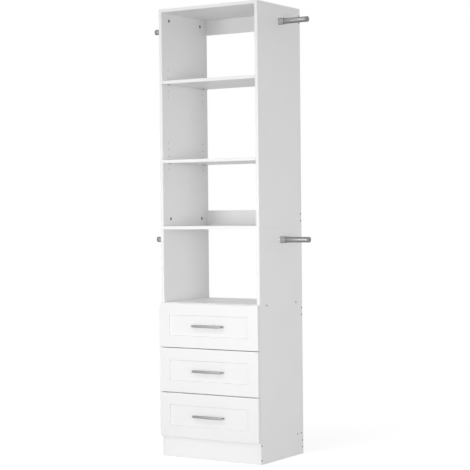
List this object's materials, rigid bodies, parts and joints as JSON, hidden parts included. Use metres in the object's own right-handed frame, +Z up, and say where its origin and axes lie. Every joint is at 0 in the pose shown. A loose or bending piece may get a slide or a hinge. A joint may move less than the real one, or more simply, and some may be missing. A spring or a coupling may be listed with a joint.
{
  "type": "closet shelving tower",
  "caption": "Tall white closet tower with open shelves on pins over shaker drawers on ball slides, and short hanging rods on both sides.",
  "frame": {"origin": "on the floor, at the middle of the bounding box in X and Y", "axes": "+X to the tower's right side panel seen from the front, +Y to the rear, +Z up; the drawers open towards -Y"},
  "size_m": [0.846, 0.424, 2.095],
  "materials": {
    "white_melamine": "white melamine on particleboard, satin",
    "white_thermofoil": "white thermofoil over routed fibreboard, satin",
    "white_hardboard": "white laminated hardboard, matte",
    "brushed_nickel": "brushed nickel plate",
    "silver_lacquer": "silver flake lacquer on steel, satin",
    "zinc_steel": "bright zinc-plated steel sheet"
  },
  "bodies": {
    "carcass": {"lower_side_left": "white_melamine", "lower_side_right": "white_melamine", "upper_side_left": "white_melamine", "upper_side_right": "white_melamine", "top_board": "white_melamine", "middle_board": "white_melamine", "drawer_deck": "white_melamine", "plinth": "white_melamine", "base_stretcher": "white_melamine", "base_back_rail": "white_melamine", "deck_back_rail": "white_melamine", "middle_back_rail": "white_melamine", "top_back_rail": "white_melamine", "shelf_upper": "white_melamine", "shelf_lower": "white_melamine", "rod_cup_upper_left": "silver_lacquer", "rod_cup_upper_right": "silver_lacquer", "rod_cup_lower_left": "silver_lacquer", "rod_cup_lower_right": "silver_lacquer", "rod_upper_left": "silver_lacquer", "rod_upper_right": "silver_lacquer", "rod_lower_left": "silver_lacquer", "rod_lower_right": "silver_lacquer", "lower_drawer_slide_cabinet_member_left": "zinc_steel", "lower_drawer_slide_cabinet_member_right": "zinc_steel", "centre_drawer_slide_cabinet_member_left": "zinc_steel", "centre_drawer_slide_cabinet_member_right": "zinc_steel", "upper_drawer_slide_cabinet_member_left": "zinc_steel", "upper_drawer_slide_cabinet_member_right": "zinc_steel"},
    "lower_drawer": {"lower_drawer_front": "white_thermofoil", "lower_drawer_side_left": "white_melamine", "lower_drawer_side_right": "white_melamine", "lower_drawer_back": "white_melamine", "lower_drawer_bottom": "white_hardboard", "lower_drawer_pull": "brushed_nickel", "lower_drawer_slide_drawer_member_left": "zinc_steel", "lower_drawer_slide_drawer_member_right": "zinc_steel"},
    "centre_drawer": {"centre_drawer_front": "white_thermofoil", "centre_drawer_side_left": "white_melamine", "centre_drawer_side_right": "white_melamine", "centre_drawer_back": "white_melamine", "centre_drawer_bottom": "white_hardboard", "centre_drawer_pull": "brushed_nickel", "centre_drawer_slide_drawer_member_left": "zinc_steel", "centre_drawer_slide_drawer_member_right": "zinc_steel"},
    "upper_drawer": {"upper_drawer_front": "white_thermofoil", "upper_drawer_side_left": "white_melamine", "upper_drawer_side_right": "white_melamine", "upper_drawer_back": "white_melamine", "upper_drawer_bottom": "white_hardboard", "upper_drawer_pull": "brushed_nickel", "upper_drawer_slide_drawer_member_left": "zinc_steel", "upper_drawer_slide_drawer_member_right": "zinc_steel"},
    "lower_drawer_middle_members": {"lower_drawer_slide_middle_member_left": "zinc_steel", "lower_drawer_slide_middle_member_right": "zinc_steel"},
    "centre_drawer_middle_members": {"centre_drawer_slide_middle_member_left": "zinc_steel", "centre_drawer_slide_middle_member_right": "zinc_steel"},
    "upper_drawer_middle_members": {"upper_drawer_slide_middle_member_left": "zinc_steel", "upper_drawer_slide_middle_member_right": "zinc_steel"}
  },
  "joints": [
    {"name": "lower_drawer_slide", "type": "slide", "parent": "carcass", "child": "lower_drawer", "axis": [0, -1, 0], "range_m": [0, 0.33]},
    {"name": "centre_drawer_slide", "type": "slide", "parent": "carcass", "child": "centre_drawer", "axis": [0, -1, 0], "range_m": [0, 0.33]},
    {"name": "upper_drawer_slide", "type": "slide", "parent": "carcass", "child": "upper_drawer", "axis": [0, -1, 0], "range_m": [0, 0.33]},
    {"name": "lower_middle_member_slide", "type": "slide", "parent": "carcass", "child": "lower_drawer_middle_members", "axis": [0, -1, 0], "range_m": [0, 0.165]},
    {"name": "centre_middle_member_slide", "type": "slide", "parent": "carcass", "child": "centre_drawer_middle_members", "axis": [0, -1, 0], "range_m": [0, 0.165]},
    {"name": "upper_middle_member_slide", "type": "slide", "parent": "carcass", "child": "upper_drawer_middle_members", "axis": [0, -1, 0], "range_m": [0, 0.165]}
  ],
  "couplings": [
    {"joint": "lower_middle_member_slide", "follows": "lower_drawer_slide", "ratio": 0.5},
    {"joint": "centre_middle_member_slide", "follows": "centre_drawer_slide", "ratio": 0.5},
    {"joint": "upper_middle_member_slide", "follows": "upper_drawer_slide", "ratio": 0.5}
  ]
}
